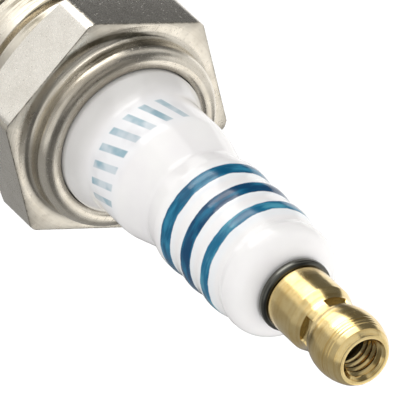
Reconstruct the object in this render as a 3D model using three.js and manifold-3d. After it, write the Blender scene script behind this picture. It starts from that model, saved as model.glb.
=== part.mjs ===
// A resistor spark plug: M14 x 1.25 thread, 19 mm reach, 20.6 mm hexagon, fine-wire centre electrode and a
// terminal nut that unscrews. Millimetres. The origin is the centre of the shell's gasket seat, +Z runs along
// the axis to the terminal, and two of the hexagon's corners lie on the X axis.
import * as THREE from "three";
import { mergeVertices } from "three/addons/utils/BufferGeometryUtils.js";
import Module from "manifold-3d";

const wasm = await Module();
wasm.setup();

// ---------------------------------------------------------------- driving dimensions
const SIDES = 24; // facets round every turned piece
const FIT = 0.05; // gap at each face where pieces are pressed, packed or fused together
const PAST = 1; // how far a cutter runs beyond the surface it opens
const CURVE_STEPS = 5; // straight stretches along a long curve
const FINE_STEPS = 3; // and along a short one

const thread = {
  pitch: 1.25,
  crestRadius: 6.95,
  rootRadius: 6.27,
  crestFlat: 0.16,
  rootFlat: 0.31,
  runOut: 1.0, // axial length of the chamfer on the first and last turns
};

const shell = {
  reach: 19, // gasket seat to the end of the thread
  neckRadius: 6.1,
  neckLength: 2.8,
  barrelRadius: 9.9,
  barrelTop: 3.7,
  barrelEdge: 0.5,
  grooveRadius: 9.2,
  grooveTop: 4.8,
  landRadius: 10.25,
  landTop: 6.0,
  acrossFlats: 20.6,
  cornerRadius: 11.7,
  cornerLow: 6.7, // where the lower chamfer has cut a corner back to nothing
  hexTop: 11.4,
  collarFoot: 9.15,
  collarStep: 0.3, // height of the slope from the collar's foot to its wall
  collarRadius: 9.0,
  rollRadius: 7.85, // ring about which the collar's wall is rolled inwards
  rollHeight: 12.95,
  lipRadius: 7.16,
  lipTop: 13.83,
  lipLow: 13.2,
};

const bore = {
  headRadius: 8.0, // round the insulator's widest part
  headLow: 2.4,
  bodyRadius: 5.2,
  bodyTop: 0.4,
  seatRadius: 4.15,
  seatHigh: -11.3,
  seatDrop: 0.61, // fall of the conical seat across its width
  throatLow: -13.2,
  mouthRadius: 4.9,
  mouthHigh: -15,
};

const gasket = {
  innerRadius: 6.75, // of the upper layer, which the thread's crests hold captive
  footRadius: 7.05, // inner radius of the lower layer, clear of the thread
  outerRadius: 9.8,
  thickness: 2.0,
  strip: 0.45, // the folded strip's own thickness
  edge: 0.4,
  play: 0.6, // from its lowest place up to the seat
};

const insulator = {
  noseTip: -20.5,
  noseTipRadius: 2.2,
  noseRadius: 3.8,
  noseStraight: 1.0, // plain length between the nose's cone and the seat's shoulder
  bodyRadius: 4.95,
  bodyTop: 0.3,
  flangeRadius: 7.85,
  flangeLow: 2.6,
  flangeHigh: 6.4,
  neckRadius: 6.9, // inside the packing rings
  neckLow: 7.4,
  neckHigh: 12.95,
  lipNeckRadius: 7.04, // up through the collar's lip
  lipNeckLow: 13.1,
  lipNeckHigh: 14.3,
  stemRadius: 6.09,
  stemLow: 16.6,
  stemHigh: 21.3,
  taperRadius: 5.23,
  taperHigh: 25.2,
  ribRadius: 5.65,
  ribValley: 5.46,
  ribFirst: 28.6,
  ribPitch: 3.3,
  ribCount: 3,
  lastValley: 5.28,
  headRadius: 5.42,
  headEdge: 2.2,
  top: 41.0,
  studBore: 2.0,
  shoulderHigh: -4.0,
  shoulderLow: -4.6,
  electrodeBore: 1.3,
};

const packing = {
  wireRadius: 0.48,
  ringRadius: 7.45,
  lowerRing: 7.62,
  upperRing: 12.42,
  seatInner: 4.2,
  seatOuter: 4.9,
  seatThickness: 0.34,
};

const stud = {
  flangeRadius: 3.5,
  flangeHeight: 1.0,
  flangeEdge: 0.35,
  shankRadius: 1.85,
  rootRadius: 1.45, // knurled length held in the glass
  rootLow: 10.6,
  rootHigh: 14.15,
  rootCone: 0.4, // length of the cone from the knurled root to the shank
  threadRadius: 1.58,
  top: 50.4,
  pointLength: 0.4,
};

const nut = {
  bodyRadius: 3.17,
  bodyHeight: 3.8,
  waistRadius: 2.79,
  waistLow: 46.7,
  waistHigh: 48.2,
  bulgeRadius: 3.25,
  bulgeHeight: 50.25,
  bulgeArc: 5.5,
  shoulder: 52.45,
  faceRadius: 2.45,
  top: 53.0,
  boreRadius: 1.65,
  mouthRadius: 2.05,
  mouthDepth: 0.35,
  slotHeight: 1.15,
  slotMiddle: 47.53,
  slotFloor: 2.4, // distance of each slot's flat floor from the axis
  slotCount: 4,
  slotTurn: 32, // degrees from +X to the first slot
};

const column = {
  upperGlassLow: 9.1,
  upperGlassHigh: 14.1,
  resistorHigh: 9.05,
  resistorLow: 0.0,
  lowerGlassLow: -3.75,
};

const electrode = {
  headTop: -2.5,
  stemRadius: 1.2,
  collarRadius: 1.85,
  collarHigh: -3.8,
  bodyEnd: -20.9,
  pointEnd: -21.2,
  pointRadius: 0.45,
  coreRadius: 0.7,
  coreLow: -19.5,
  tipRadius: 0.2,
  tipHigh: -20.8,
  tipEnd: -21.9,
  beadRadius: 0.42,
  beadHeight: 0.22,
};

const strap = {
  width: 2.6,
  tipWidth: 1.4,
  taperStart: 2.4,
  thickness: 1.3,
  outerRadius: 6.2,
  sparkGap: 0.8,
  bendRadius: 1.3, // inside of the bend
  reachPastAxis: 0.9,
};

// ---------------------------------------------------------------- materials
const nickelPlate = { color: 0xc9c2b0, roughness: 0.32, metalness: 1 };
const gasketSteel = { color: 0xb4afa3, roughness: 0.4, metalness: 1 };
const nickelAlloy = { color: 0x9c958a, roughness: 0.45, metalness: 1 };
const darkSteel = { color: 0x55544f, roughness: 0.3, metalness: 1 };
const brass = { color: 0xc8a862, roughness: 0.28, metalness: 1 };
const copper = { color: 0xb4693f, roughness: 0.4, metalness: 1 };
const iridium = { color: 0xdadcdd, roughness: 0.25, metalness: 1 };
const glaze = { color: 0xf3f2f0, roughness: 0.12, metalness: 0 };
const sealGlass = { color: 0x4a3f38, roughness: 0.4, metalness: 0.3 };
const carbonGlass = { color: 0x26262a, roughness: 0.7, metalness: 0 };
const talc = { color: 0xd9d5cb, roughness: 0.95, metalness: 0 };

// ---------------------------------------------------------------- outlines
const degrees = THREE.MathUtils.degToRad;

// Points (radius, height) on an arc about a centre, angles in degrees from outwards towards +Z.
function arc(radius, height, size, from, to, steps) {
  return Array.from({ length: steps + 1 }, (_, i) => {
    const angle = degrees(from + ((to - from) * i) / steps);
    return [radius + size * Math.cos(angle), height + size * Math.sin(angle)];
  });
}

// Points on an S-curve that leaves one radius and reaches the other without a corner.
function ease([radius0, height0], [radius1, height1], steps) {
  return Array.from({ length: steps + 1 }, (_, i) => {
    const share = i / steps;
    const eased = (1 - Math.cos(Math.PI * share)) / 2;
    return [radius0 + (radius1 - radius0) * eased, height0 + (height1 - height0) * share];
  });
}

// Turns an outline of (radius, height) points about the Z axis. It runs up the outside, and either starts
// and ends on the axis or comes back down a bore to its first point.
function turned(outline) {
  const onAxis = outline[0][0] === 0;
  const closed = onAxis ? outline : [...outline, outline[0]];
  const points = closed.map(([radius, height]) => new THREE.Vector2(radius, height));
  return new THREE.LatheGeometry(points, SIDES).rotateX(Math.PI / 2);
}

// ---------------------------------------------------------------- joining and cutting
function solidOf(geometry) {
  const bare = geometry.clone();
  bare.deleteAttribute("normal");
  bare.deleteAttribute("uv");
  const merged = mergeVertices(bare);
  return new wasm.Manifold(
    new wasm.Mesh({
      numProp: 3,
      vertProperties: new Float32Array(merged.attributes.position.array),
      triVerts: new Uint32Array(merged.index.array),
    }),
  );
}

function geometryOf(solid) {
  const mesh = solid.getMesh();
  return new THREE.BufferGeometry()
    .setAttribute("position", new THREE.BufferAttribute(mesh.vertProperties, 3))
    .setIndex(new THREE.BufferAttribute(mesh.triVerts, 1));
}

// ---------------------------------------------------------------- shell
// A right-hand screw thread: a turned stack of teeth whose columns rise by one pitch in a full turn. The
// step this leaves where the last column meets the first is closed at each end by a fan from the axis.
function threadRod(low, high) {
  const { pitch, crestRadius, rootRadius, crestFlat, rootFlat } = thread;
  const flank = (pitch - crestFlat - rootFlat) / 2;
  const tooth = [
    [rootRadius, 0],
    [rootRadius, rootFlat],
    [crestRadius, rootFlat + flank],
    [crestRadius, rootFlat + flank + crestFlat],
  ];
  const turns = Math.ceil((high - low) / pitch);
  const rim = [];
  for (let turn = 0; turn < turns; turn += 1) {
    rim.push(...tooth.map(([radius, rise]) => [radius, low + turn * pitch + rise]));
  }
  rim.push([rootRadius, low + turns * pitch]);
  const outline = [[0, low], ...rim, [0, low + turns * pitch]];
  const points = outline.map(([radius, height]) => new THREE.Vector2(radius, height));
  const rod = new THREE.LatheGeometry(points, SIDES);
  const place = rod.attributes.position;
  for (let i = 0; i < place.count; i += 1) {
    const column = Math.floor(i / outline.length);
    const row = i % outline.length;
    const onAxis = row === 0 || row === outline.length - 1;
    if (!onAxis) place.setY(i, place.getY(i) + (pitch * column) / SIDES);
  }
  const faces = [...rod.index.array];
  const lastColumn = SIDES * outline.length;
  const topAxis = lastColumn + outline.length - 1;
  for (let step = 0; step < tooth.length; step += 1) {
    faces.push(0, 1 + step, 2 + step);
    faces.push(topAxis, topAxis - 1 - step, topAxis - 2 - step);
  }
  rod.setIndex(faces);
  return solidOf(rod.rotateX(Math.PI / 2));
}

function shellThread() {
  const { crestRadius, runOut } = thread;
  const low = -shell.reach;
  const high = -shell.neckLength;
  const blank = turned([
    [0, low],
    [shell.neckRadius, low],
    [crestRadius + FIT, low + runOut],
    [crestRadius + FIT, high - runOut],
    [shell.neckRadius, high],
    [0, high],
  ]);
  const rod = threadRod(low - 2 * thread.pitch, high + 2 * thread.pitch);
  return rod.intersect(solidOf(blank));
}

function shellHexagon() {
  const height = shell.hexTop - shell.grooveTop;
  const pointRadius = shell.acrossFlats / Math.sqrt(3);
  const corner = Math.PI / 6; // puts two corners on the X axis
  const prism = new THREE.CylinderGeometry(pointRadius, pointRadius, height, 6, 1, false, corner)
    .rotateX(Math.PI / 2)
    .translate(0, 0, shell.grooveTop + height / 2);
  const envelope = turned([
    [0, shell.grooveTop],
    [shell.landRadius, shell.grooveTop],
    [shell.acrossFlats / 2, shell.landTop],
    [shell.cornerRadius, shell.cornerLow],
    [shell.cornerRadius, shell.hexTop],
    [0, shell.hexTop],
  ]);
  return solidOf(prism).intersect(solidOf(envelope));
}

function metalShell() {
  const { barrelRadius, barrelEdge, rollRadius, rollHeight, collarRadius } = shell;
  const wall = collarRadius - rollRadius;
  const body = turned([
    [0, -shell.neckLength - PAST],
    [shell.neckRadius, -shell.neckLength - PAST],
    [shell.neckRadius, 0],
    [barrelRadius - barrelEdge, 0],
    [barrelRadius, barrelEdge],
    [barrelRadius, shell.barrelTop],
    [shell.grooveRadius, shell.barrelTop],
    [shell.grooveRadius, shell.grooveTop],
    [shell.collarFoot, shell.grooveTop],
    [shell.collarFoot, shell.hexTop],
    [collarRadius, shell.hexTop + shell.collarStep],
    ...arc(rollRadius, rollHeight, wall, 0, 90, CURVE_STEPS),
    [shell.lipRadius, shell.lipTop],
    [0, shell.lipTop],
  ]);
  const cavity = turned([
    [0, -shell.reach - PAST],
    [bore.mouthRadius, -shell.reach - PAST],
    [bore.mouthRadius, bore.mouthHigh],
    [bore.seatRadius, bore.throatLow],
    [bore.seatRadius, bore.seatHigh - bore.seatDrop],
    [bore.bodyRadius, bore.seatHigh],
    [bore.bodyRadius, bore.bodyTop],
    [bore.headRadius, bore.headLow],
    [bore.headRadius, rollHeight],
    [shell.lipRadius, shell.lipLow],
    [shell.lipRadius, shell.lipTop + PAST],
    [0, shell.lipTop + PAST],
  ]);
  const outside = solidOf(body).add(shellHexagon()).add(shellThread());
  return geometryOf(outside.subtract(solidOf(cavity)));
}

// A steel strip folded on itself, open towards the neck, that can't pass the first turn of the thread.
function crushGasket() {
  const { innerRadius, footRadius, outerRadius, thickness, strip, edge } = gasket;
  const top = -gasket.play;
  const low = top - thickness;
  return turned([
    [footRadius, low],
    [outerRadius - edge, low],
    [outerRadius, low + edge],
    [outerRadius, top - edge],
    [outerRadius - edge, top],
    [innerRadius + strip, top],
    [innerRadius, top - strip / 2],
    [innerRadius + strip, top - strip],
    [outerRadius - 2 * strip, top - strip],
    [outerRadius - 2 * strip, low + strip],
    [footRadius, low + strip],
  ]);
}

// The earth electrode: a strap welded to the end of the shell and bent under the centre electrode.
function groundElectrode() {
  const { width, thickness, outerRadius, bendRadius, reachPastAxis } = strap;
  const upper = electrode.tipEnd - strap.sparkGap;
  const lower = upper - thickness;
  const inner = outerRadius - thickness;
  const root = -shell.reach - FIT;
  const bendCentre = [inner - bendRadius, upper + bendRadius];
  const outline = new THREE.Shape();
  outline.moveTo(outerRadius, root);
  outline.lineTo(inner, root);
  outline.lineTo(inner, bendCentre[1]);
  outline.absarc(...bendCentre, bendRadius, 0, -Math.PI / 2, true);
  outline.lineTo(-reachPastAxis, upper);
  outline.lineTo(-reachPastAxis, lower);
  outline.lineTo(bendCentre[0], lower);
  outline.absarc(...bendCentre, bendRadius + thickness, -Math.PI / 2, 0, false);
  outline.closePath();
  const section = { depth: width, bevelEnabled: false, curveSegments: CURVE_STEPS };
  const bent = new THREE.ExtrudeGeometry(outline, section)
    .translate(0, 0, -width / 2)
    .rotateX(Math.PI / 2);
  const plan = new THREE.Shape([
    new THREE.Vector2(-reachPastAxis - PAST, -strap.tipWidth / 2),
    new THREE.Vector2(-reachPastAxis, -strap.tipWidth / 2),
    new THREE.Vector2(strap.taperStart, -width / 2),
    new THREE.Vector2(outerRadius + PAST, -width / 2),
    new THREE.Vector2(outerRadius + PAST, width / 2),
    new THREE.Vector2(strap.taperStart, width / 2),
    new THREE.Vector2(-reachPastAxis, strap.tipWidth / 2),
    new THREE.Vector2(-reachPastAxis - PAST, strap.tipWidth / 2),
  ]);
  const height = root - lower + 2 * PAST;
  const tapered = new THREE.ExtrudeGeometry(plan, { depth: height, bevelEnabled: false })
    .translate(0, 0, lower - PAST);
  return geometryOf(solidOf(bent).intersect(solidOf(tapered)));
}

// ---------------------------------------------------------------- insulator and its packing
// Height of the shell's conical seat at a radius.
function seatHeight(radius) {
  const slope = bore.seatDrop / (bore.bodyRadius - bore.seatRadius);
  return bore.seatHigh - (bore.bodyRadius - radius) * slope;
}

function ceramicInsulator() {
  const { noseRadius, ribRadius, ribValley, ribFirst, ribPitch, ribCount, headRadius, headEdge } = insulator;
  const shoulder = packing.seatThickness + 2 * FIT;
  const noseHigh = seatHeight(noseRadius) + shoulder;
  const ribs = [];
  for (let rib = 0; rib < ribCount; rib += 1) {
    const crest = ribFirst + rib * ribPitch;
    const valley = rib === ribCount - 1 ? insulator.lastValley : ribValley;
    ribs.push(...ease([ribRadius, crest], [valley, crest + ribPitch / 2], FINE_STEPS));
    if (rib < ribCount - 1) {
      const rise = ease([valley, crest + ribPitch / 2], [ribRadius, crest + ribPitch], FINE_STEPS);
      ribs.push(...rise.slice(1, -1));
    }
  }
  return turned([
    [insulator.electrodeBore, insulator.noseTip],
    [insulator.noseTipRadius, insulator.noseTip],
    [noseRadius, noseHigh - insulator.noseStraight],
    [noseRadius, noseHigh],
    [insulator.bodyRadius, seatHeight(insulator.bodyRadius) + shoulder],
    [insulator.bodyRadius, insulator.bodyTop],
    [insulator.flangeRadius, insulator.flangeLow],
    [insulator.flangeRadius, insulator.flangeHigh],
    [insulator.neckRadius, insulator.neckLow],
    [insulator.neckRadius, insulator.neckHigh],
    [insulator.lipNeckRadius, insulator.lipNeckLow],
    ...ease(
      [insulator.lipNeckRadius, insulator.lipNeckHigh],
      [insulator.stemRadius, insulator.stemLow],
      CURVE_STEPS,
    ),
    ...ease(
      [insulator.stemRadius, insulator.stemHigh],
      [insulator.taperRadius, insulator.taperHigh],
      CURVE_STEPS,
    ),
    ...ribs,
    ...arc(headRadius - headEdge, insulator.top - headEdge, headEdge, 0, 90, CURVE_STEPS),
    [insulator.studBore, insulator.top],
    [insulator.studBore, insulator.shoulderHigh],
    [insulator.electrodeBore, insulator.shoulderLow],
  ]);
}

function seatPacking() {
  const { seatInner, seatOuter, seatThickness } = packing;
  return turned([
    [seatInner, seatHeight(seatInner) + FIT],
    [seatOuter, seatHeight(seatOuter) + FIT],
    [seatOuter, seatHeight(seatOuter) + FIT + seatThickness],
    [seatInner, seatHeight(seatInner) + FIT + seatThickness],
  ]);
}

function wireRing(height) {
  const { ringRadius, wireRadius } = packing;
  return turned(arc(ringRadius, height, wireRadius, 0, 360, 2 * CURVE_STEPS).slice(0, -1));
}

function talcFill() {
  const inner = insulator.neckRadius + FIT;
  const outer = bore.headRadius - FIT;
  const low = packing.lowerRing + packing.wireRadius + FIT;
  const high = packing.upperRing - packing.wireRadius - FIT;
  return turned([
    [inner, low],
    [outer, low],
    [outer, high],
    [inner, high],
  ]);
}

// ---------------------------------------------------------------- conducting column
function terminalStud() {
  const low = insulator.top + FIT;
  const { flangeRadius, flangeHeight, flangeEdge, shankRadius, rootRadius, rootLow, rootHigh } = stud;
  return turned([
    [0, rootLow],
    [rootRadius, rootLow],
    [rootRadius, rootHigh],
    [shankRadius, rootHigh + stud.rootCone],
    [shankRadius, low],
    [flangeRadius - flangeEdge, low],
    ...arc(flangeRadius - flangeEdge, low + flangeHeight - flangeEdge, flangeEdge, 0, 90, FINE_STEPS),
    [stud.threadRadius, low + flangeHeight],
    [stud.threadRadius, stud.top - stud.pointLength],
    [stud.threadRadius - stud.pointLength, stud.top],
    [0, stud.top],
  ]);
}

function upperGlassSeal() {
  const outer = insulator.studBore - FIT;
  const inner = stud.rootRadius + FIT;
  const cupFloor = stud.rootLow - FIT;
  return turned([
    [0, column.upperGlassLow],
    [outer, column.upperGlassLow],
    [outer, column.upperGlassHigh],
    [inner, column.upperGlassHigh],
    [inner, cupFloor],
    [0, cupFloor],
  ]);
}

function resistorSlug() {
  const outer = insulator.studBore - FIT;
  return turned([
    [0, column.resistorLow],
    [outer, column.resistorLow],
    [outer, column.resistorHigh],
    [0, column.resistorHigh],
  ]);
}

function lowerGlassSeal() {
  const outer = insulator.studBore - FIT;
  const inner = electrode.stemRadius + FIT;
  const cupRoof = electrode.headTop + FIT;
  const top = column.resistorLow - FIT;
  return turned([
    [0, cupRoof],
    [inner, cupRoof],
    [inner, column.lowerGlassLow],
    [outer, column.lowerGlassLow],
    [outer, top],
    [0, top],
  ]);
}

// A nickel-alloy cup, open at its head, with a collar that rests on the insulator's inner shoulder.
function centreElectrode() {
  const { headTop, stemRadius, collarRadius, collarHigh, bodyEnd, pointEnd, pointRadius } = electrode;
  const cup = electrode.coreRadius + FIT;
  const tipHole = electrode.tipRadius + FIT;
  const hole = electrode.tipHigh + FIT;
  const outside = turned([
    [0, pointEnd],
    [pointRadius, pointEnd],
    [stemRadius, bodyEnd],
    [stemRadius, insulator.shoulderLow],
    [collarRadius, insulator.shoulderHigh],
    [collarRadius, collarHigh],
    [stemRadius, collarHigh],
    [stemRadius, headTop],
    [0, headTop],
  ]);
  const coreHole = turned([
    [0, electrode.coreLow - FIT],
    [cup, electrode.coreLow - FIT],
    [cup, headTop + PAST],
    [0, headTop + PAST],
  ]);
  const wireHole = turned([
    [0, pointEnd - PAST],
    [tipHole, pointEnd - PAST],
    [tipHole, hole],
    [0, hole],
  ]);
  return geometryOf(solidOf(outside).subtract(solidOf(coreHole)).subtract(solidOf(wireHole)));
}

function copperCore() {
  return turned([
    [0, electrode.coreLow],
    [electrode.coreRadius, electrode.coreLow],
    [electrode.coreRadius, electrode.headTop],
    [0, electrode.headTop],
  ]);
}

function iridiumTip() {
  return turned([
    [0, electrode.tipEnd],
    [electrode.tipRadius, electrode.tipEnd],
    [electrode.tipRadius, electrode.tipHigh],
    [0, electrode.tipHigh],
  ]);
}

// The laser-welded bead that holds the wire in the electrode's point.
function weldBead() {
  const inner = electrode.tipRadius + FIT;
  const high = electrode.pointEnd - FIT;
  const low = high - electrode.beadHeight;
  return turned([
    [inner, low],
    [(inner + electrode.beadRadius) / 2, low],
    [electrode.beadRadius, high],
    [inner, high],
  ]);
}

// ---------------------------------------------------------------- terminal nut
function terminalNut() {
  const { bodyRadius, waistRadius, waistLow, waistHigh, bulgeRadius, bulgeHeight, bulgeArc } = nut;
  const low = insulator.top + stud.flangeHeight + 2 * FIT;
  const bulgeFrom = -Math.asin((bulgeHeight - waistHigh) / bulgeArc);
  const bulgeTo = Math.asin((nut.shoulder - bulgeHeight) / bulgeArc);
  const bulge = [THREE.MathUtils.radToDeg(bulgeFrom), THREE.MathUtils.radToDeg(bulgeTo)];
  const body = turned([
    [nut.boreRadius, low],
    [bodyRadius, low],
    [bodyRadius, low + nut.bodyHeight],
    [waistRadius, waistLow],
    [waistRadius, waistHigh],
    ...arc(bulgeRadius - bulgeArc, bulgeHeight, bulgeArc, ...bulge, CURVE_STEPS),
    [nut.faceRadius, nut.top],
    [nut.mouthRadius, nut.top],
    [nut.boreRadius, nut.top - nut.mouthDepth],
  ]);
  return geometryOf(solidOf(body).subtract(stakingSlots()));
}

// Flat-bottomed slots pressed round the waist, which lock the nut's thread on the stud.
function stakingSlots() {
  const size = nut.bodyRadius;
  const slots = [];
  for (let i = 0; i < nut.slotCount; i += 1) {
    const turn = degrees(nut.slotTurn + (i * 360) / nut.slotCount);
    const slot = new THREE.BoxGeometry(size, 2 * size, nut.slotHeight)
      .translate(nut.slotFloor + size / 2, 0, nut.slotMiddle)
      .rotateZ(turn);
    slots.push(solidOf(slot));
  }
  return slots.reduce((all, slot) => all.add(slot));
}

// ---------------------------------------------------------------- assembly
const sparkPlug = new THREE.Group();

function addPiece(name, geometry, material) {
  const flatShaded = geometry.index ? geometry.toNonIndexed() : geometry;
  flatShaded.computeVertexNormals();
  const mesh = new THREE.Mesh(flatShaded, new THREE.MeshStandardMaterial(material));
  mesh.name = name;
  sparkPlug.add(mesh);
}

addPiece("metal_shell", metalShell(), nickelPlate);
addPiece("crush_gasket", crushGasket(), gasketSteel);
addPiece("ground_electrode", groundElectrode(), nickelAlloy);
addPiece("insulator", ceramicInsulator(), glaze);
addPiece("seat_packing", seatPacking(), nickelPlate);
addPiece("lower_packing_ring", wireRing(packing.lowerRing), darkSteel);
addPiece("talc_fill", talcFill(), talc);
addPiece("upper_packing_ring", wireRing(packing.upperRing), darkSteel);
addPiece("terminal_stud", terminalStud(), darkSteel);
addPiece("upper_glass_seal", upperGlassSeal(), sealGlass);
addPiece("resistor", resistorSlug(), carbonGlass);
addPiece("lower_glass_seal", lowerGlassSeal(), sealGlass);
addPiece("centre_electrode", centreElectrode(), nickelAlloy);
addPiece("centre_electrode_core", copperCore(), copper);
addPiece("iridium_tip", iridiumTip(), iridium);
addPiece("tip_weld_bead", weldBead(), nickelAlloy);
addPiece("terminal_nut", terminalNut(), brass);

export default sparkPlug;
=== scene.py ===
"""Looks of the spark plug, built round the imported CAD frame.

Sizes in the outlines are millimetres, (radius, height) from the frame's origin at the gasket seat, and
turn into metres when a mesh is made. Every turned piece is one closed mesh revolved about the Z axis.
"""
import math

import bmesh
import bpy
from mathutils import Matrix, Vector


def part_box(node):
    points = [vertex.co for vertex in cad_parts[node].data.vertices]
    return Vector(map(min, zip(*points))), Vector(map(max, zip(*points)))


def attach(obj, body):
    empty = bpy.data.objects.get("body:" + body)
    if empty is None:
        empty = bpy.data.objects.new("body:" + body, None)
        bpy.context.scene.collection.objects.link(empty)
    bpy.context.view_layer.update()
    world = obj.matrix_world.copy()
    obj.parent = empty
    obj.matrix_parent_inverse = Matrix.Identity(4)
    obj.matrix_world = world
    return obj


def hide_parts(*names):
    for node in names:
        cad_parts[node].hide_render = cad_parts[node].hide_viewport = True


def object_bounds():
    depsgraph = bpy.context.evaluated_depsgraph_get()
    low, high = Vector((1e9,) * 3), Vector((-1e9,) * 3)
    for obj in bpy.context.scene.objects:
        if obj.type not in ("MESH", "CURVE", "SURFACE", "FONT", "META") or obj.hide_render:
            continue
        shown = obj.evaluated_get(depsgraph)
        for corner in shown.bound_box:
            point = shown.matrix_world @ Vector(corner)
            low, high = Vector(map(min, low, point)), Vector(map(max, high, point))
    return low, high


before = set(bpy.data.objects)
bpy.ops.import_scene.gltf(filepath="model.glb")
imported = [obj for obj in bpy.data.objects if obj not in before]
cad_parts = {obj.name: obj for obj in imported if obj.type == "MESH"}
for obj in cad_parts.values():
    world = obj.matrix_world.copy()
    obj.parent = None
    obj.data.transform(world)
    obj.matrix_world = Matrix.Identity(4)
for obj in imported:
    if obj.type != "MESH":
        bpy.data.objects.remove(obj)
cad_low, cad_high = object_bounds()

MM = 0.001


def cad_heights(node):
    """Lowest and highest point of a CAD node, in millimetres."""
    low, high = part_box(node)
    return low.z / MM, high.z / MM


# ---------------------------------------------------------------- camera
# Angles in degrees, lengths in metres. A long lens from far away, so that the view is nearly parallel.
VIEW_AZIMUTH = -5.4
VIEW_ELEVATION = 45.15
VIEW_ROLL = 133.4
VIEW_DISTANCE = 1.0
VIEW_WIDTH = 0.0348
SENSOR = 36.0
AIM_HEIGHT = 0.0252
AIM_ASIDE = -0.0003


def make_camera():
    azimuth, elevation = math.radians(VIEW_AZIMUTH), math.radians(VIEW_ELEVATION)
    back = Vector((
        math.sin(azimuth) * math.cos(elevation),
        -math.cos(azimuth) * math.cos(elevation),
        math.sin(elevation),
    ))
    right = Vector((math.cos(azimuth), math.sin(azimuth), 0))
    aim = Vector((0, 0, AIM_HEIGHT)) + right * AIM_ASIDE
    data = bpy.data.cameras.new("camera")
    data.sensor_width = SENSOR
    data.lens = SENSOR * VIEW_DISTANCE / VIEW_WIDTH
    camera = bpy.data.objects.new("camera", data)
    bpy.context.scene.collection.objects.link(camera)
    level = (-back).to_track_quat("-Z", "Y").to_matrix().to_4x4()
    roll = Matrix.Rotation(math.radians(VIEW_ROLL), 4, "Z")
    camera.matrix_world = Matrix.Translation(aim + back * VIEW_DISTANCE) @ level @ roll
    bpy.context.scene.camera = camera


# ---------------------------------------------------------------- outlines
def arc(radius, height, size, start, end, steps):
    """Points on an arc about (radius, height); angles in degrees from outwards towards +Z."""
    points = []
    for i in range(steps + 1):
        angle = math.radians(start + (end - start) * i / steps)
        points.append((radius + size * math.cos(angle), height + size * math.sin(angle)))
    return points


def ease(start, end, steps):
    """Points on an S-curve between two (radius, height) points, level at both ends."""
    points = []
    for i in range(steps + 1):
        share = i / steps
        eased = (1 - math.cos(math.pi * share)) / 2
        points.append((start[0] + (end[0] - start[0]) * eased, start[1] + (end[1] - start[1]) * share))
    return points


def rounded(corners, steps=4):
    """An open outline whose corners (radius, height, fillet) are rounded by their own fillets."""
    points = [tuple(corners[0][:2])]
    for before, corner, after in zip(corners, corners[1:], corners[2:]):
        here, fillet = Vector(corner[:2]), corner[2]
        to_before = (Vector(before[:2]) - here).normalized()
        to_after = (Vector(after[:2]) - here).normalized()
        if fillet <= 0 or abs(to_before.dot(to_after)) > 0.9999:
            points.append(tuple(here))
            continue
        half = to_before.angle(to_after) / 2
        reach = fillet / math.tan(half)
        first, last = here + to_before * reach, here + to_after * reach
        centre = here + (to_before + to_after).normalized() * fillet / math.sin(half)
        start, end = first - centre, last - centre
        sweep = start.angle_signed(end)
        for i in range(steps + 1):
            turn = Matrix.Rotation(-sweep * i / steps, 2)
            points.append(tuple(centre + turn @ start))
    points.append(tuple(corners[-1][:2]))
    return points


# ---------------------------------------------------------------- revolved meshes
FULL_TURN = 2 * math.pi
MERGE = 2e-7
SHARP = math.radians(38)


def add_tube(bm, rows, columns, climb=0):
    """Adds a tube of rows round the axis. A row is a (radius, height) point, or a function of the angle
    that gives one. climb is how many rows a helix rises in a full turn."""
    grid = []
    for row in rows:
        ring = []
        for angle in columns:
            radius, height = row(angle) if callable(row) else row
            spot = (radius * math.cos(angle) * MM, radius * math.sin(angle) * MM, height * MM)
            ring.append(bm.verts.new(spot))
        grid.append(ring)
    last = len(columns) - 1
    for i, (lower, upper) in enumerate(zip(grid, grid[1:])):
        for j in range(last):
            bm.faces.new((lower[j], lower[j + 1], upper[j + 1], upper[j]))
        if i + 1 + climb < len(grid):
            bm.faces.new((lower[last], grid[i + climb][0], grid[i + 1 + climb][0], upper[last]))


def even_columns(count):
    return [FULL_TURN * i / count for i in range(count)]


def finish_mesh(name, bm, sharp=SHARP):
    """Welds the tubes into one closed surface with outward faces, and makes it an object."""
    bmesh.ops.remove_doubles(bm, verts=bm.verts, dist=MERGE)
    bmesh.ops.dissolve_degenerate(bm, edges=bm.edges, dist=MERGE / 10)
    bmesh.ops.recalc_face_normals(bm, faces=bm.faces)
    mesh = bpy.data.meshes.new(name)
    bm.to_mesh(mesh)
    bm.free()
    for polygon in mesh.polygons:
        polygon.use_smooth = True
    mesh.set_sharp_from_angle(angle=sharp)
    made = bpy.data.objects.new(name, mesh)
    bpy.context.scene.collection.objects.link(made)
    return made


def revolve(name, outline, count, sharp=SHARP):
    """A turned piece. The outline starts and ends on the axis, or comes back to its first point."""
    bm = bmesh.new()
    closed = outline if outline[0][0] < MERGE else outline + outline[:1]
    add_tube(bm, closed, even_columns(count))
    return finish_mesh(name, bm, sharp)


# ---------------------------------------------------------------- screw threads
# Shares of the pitch that are flat at the root and at the crest, and how far the corners swell.
ROOT_FLAT, CREST_FLAT = 0.25, 0.125
TOOTH_SWELL = 0.05


def rounded_tooth(root, crest, steps):
    """One pitch of a 60 degree thread as (share, radius) points, with softened root and crest."""
    flank = (1 - ROOT_FLAT - CREST_FLAT) / 2
    points = []
    for i in range(steps):
        share = i / steps
        if share < ROOT_FLAT:
            level = 0.0
        elif share < ROOT_FLAT + flank:
            level = (share - ROOT_FLAT) / flank
        elif share < ROOT_FLAT + flank + CREST_FLAT:
            level = 1.0
        else:
            level = (1 - share) / flank
        soft = level + TOOTH_SWELL * math.sin(FULL_TURN * level)
        points.append((share, root + (crest - root) * min(max(soft, 0), 1)))
    return points


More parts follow.
